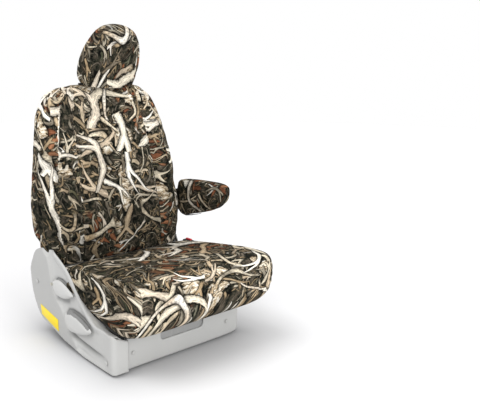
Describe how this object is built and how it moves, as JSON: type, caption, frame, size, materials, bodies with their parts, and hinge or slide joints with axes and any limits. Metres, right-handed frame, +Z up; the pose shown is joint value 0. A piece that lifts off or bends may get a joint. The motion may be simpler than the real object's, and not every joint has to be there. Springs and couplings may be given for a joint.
{
  "type": "truck seat with fitted cover set",
  "caption": "Truck passenger bucket seat in a fitted fabric cover set: cushion, backrest, headrest and folding armrest covers over a reclining seat on slide rails.",
  "frame": {"origin": "middle of the four floor bolt holes, on the floor", "axes": "+Z up, the seat faces -Y, +X towards the inboard side with the armrest and buckle"},
  "size_m": [0.6732, 0.6888, 1.096],
  "materials": {
    "frame_steel": "satin black",
    "plated_steel": "zinc plated",
    "trim_plastic": "light grey moulded, fine grain",
    "lever_plastic": "light grey moulded, smooth",
    "dark_plastic": "black moulded",
    "glide_plastic": "natural acetal",
    "screw_plastic": "grey moulded",
    "cover_fabric": "printed knit in a woodland camouflage of pale curved branches on near black",
    "foam": "open cell seat foam",
    "webbing": "black webbing and hook-and-loop",
    "tag": "blank yellow film",
    "button_red": "red moulded",
    "post_chrome": "bright chrome"
  },
  "bodies": {
    "rails": {"lower_rail_outboard": "frame_steel", "lower_rail_inboard": "frame_steel"},
    "seat": {"upper_rail_outboard": "plated_steel", "upper_rail_inboard": "plated_steel", "rail_glides": "glide_plastic", "front_riser_outboard": "frame_steel", "front_riser_inboard": "frame_steel", "front_cross_tube": "frame_steel", "rear_cross_tube": "frame_steel", "cushion_pan": "frame_steel", "cushion_foam": "foam", "cushion_cover": "cover_fabric", "cushion_straps": "webbing", "strap_buckles": "dark_plastic", "recliner_outboard": "frame_steel", "recliner_inboard": "frame_steel", "recliner_pins": "plated_steel", "recline_shaft": "plated_steel", "outboard_trim": "trim_plastic", "inboard_trim": "trim_plastic", "front_valance": "trim_plastic", "trim_screws": "screw_plastic", "side_tag": "tag", "buckle_stalk": "dark_plastic", "buckle_bolt": "plated_steel", "buckle_head": "dark_plastic"},
    "bar": {"slide_bar": "plated_steel"},
    "recline_handle": {"recline_lever": "lever_plastic"},
    "entry_handle": {"entry_lever": "lever_plastic"},
    "button": {"buckle_button": "button_red"},
    "back": {"back_frame": "frame_steel", "back_springs": "plated_steel", "recliner_arms": "plated_steel", "back_foam": "foam", "back_cover": "cover_fabric", "back_closure": "webbing", "headrest_guides": "dark_plastic", "armrest_bracket": "frame_steel", "armrest_bolt": "plated_steel"},
    "lock_button": {"headrest_lock": "dark_plastic"},
    "head": {"headrest_posts": "post_chrome", "headrest_foam": "foam", "headrest_cover": "cover_fabric", "headrest_closure": "webbing"},
    "arm": {"armrest_frame": "frame_steel", "armrest_foam": "foam", "armrest_cover": "cover_fabric", "armrest_closure": "webbing"}
  },
  "joints": [
    {"name": "seat_slide", "type": "slide", "parent": "rails", "child": "seat", "axis": [0, -1, 0], "range_m": [0, 0.16]},
    {"name": "slide_bar_lift", "type": "hinge", "parent": "seat", "child": "bar", "pos_m": [0, -0.06, 0.072], "axis": [-1, 0, 0], "range_deg": [0, 7], "stiffness_Nm_per_rad": 8, "springref_deg": -8.59},
    {"name": "recline_lever_lift", "type": "hinge", "parent": "seat", "child": "recline_handle", "pos_m": [-0.3, 0.118, 0.214], "axis": [-1, 0, 0], "range_deg": [0, 25], "stiffness_Nm_per_rad": 1.2, "springref_deg": -14.32},
    {"name": "entry_lever_lift", "type": "hinge", "parent": "seat", "child": "entry_handle", "pos_m": [-0.3, 0.014, 0.118], "axis": [-1, 0, 0], "range_deg": [0, 20], "stiffness_Nm_per_rad": 1.2, "springref_deg": -14.32},
    {"name": "buckle_press", "type": "slide", "parent": "seat", "child": "button", "axis": [0, 0, -1], "range_m": [0, 0.006], "stiffness_N_per_m": 600, "springref_m": -0.004},
    {"name": "recline", "type": "hinge", "parent": "seat", "child": "back", "pos_m": [0, 0.18, 0.262], "axis": [1, 0, 0], "range_deg": [-42, 4]},
    {"name": "headrest_lock_press", "type": "slide", "parent": "back", "child": "lock_button", "axis": [1, 0, 0], "range_m": [0, 0.003], "stiffness_N_per_m": 600, "springref_m": -0.004},
    {"name": "headrest_height", "type": "slide", "parent": "back", "child": "head", "axis": [0, -0.2079, 0.9781], "range_m": [0, 0.055]},
    {"name": "armrest_fold", "type": "hinge", "parent": "back", "child": "arm", "pos_m": [0.31, 0.192, 0.446], "axis": [-1, 0, 0], "range_deg": [0, 98]}
  ]
}
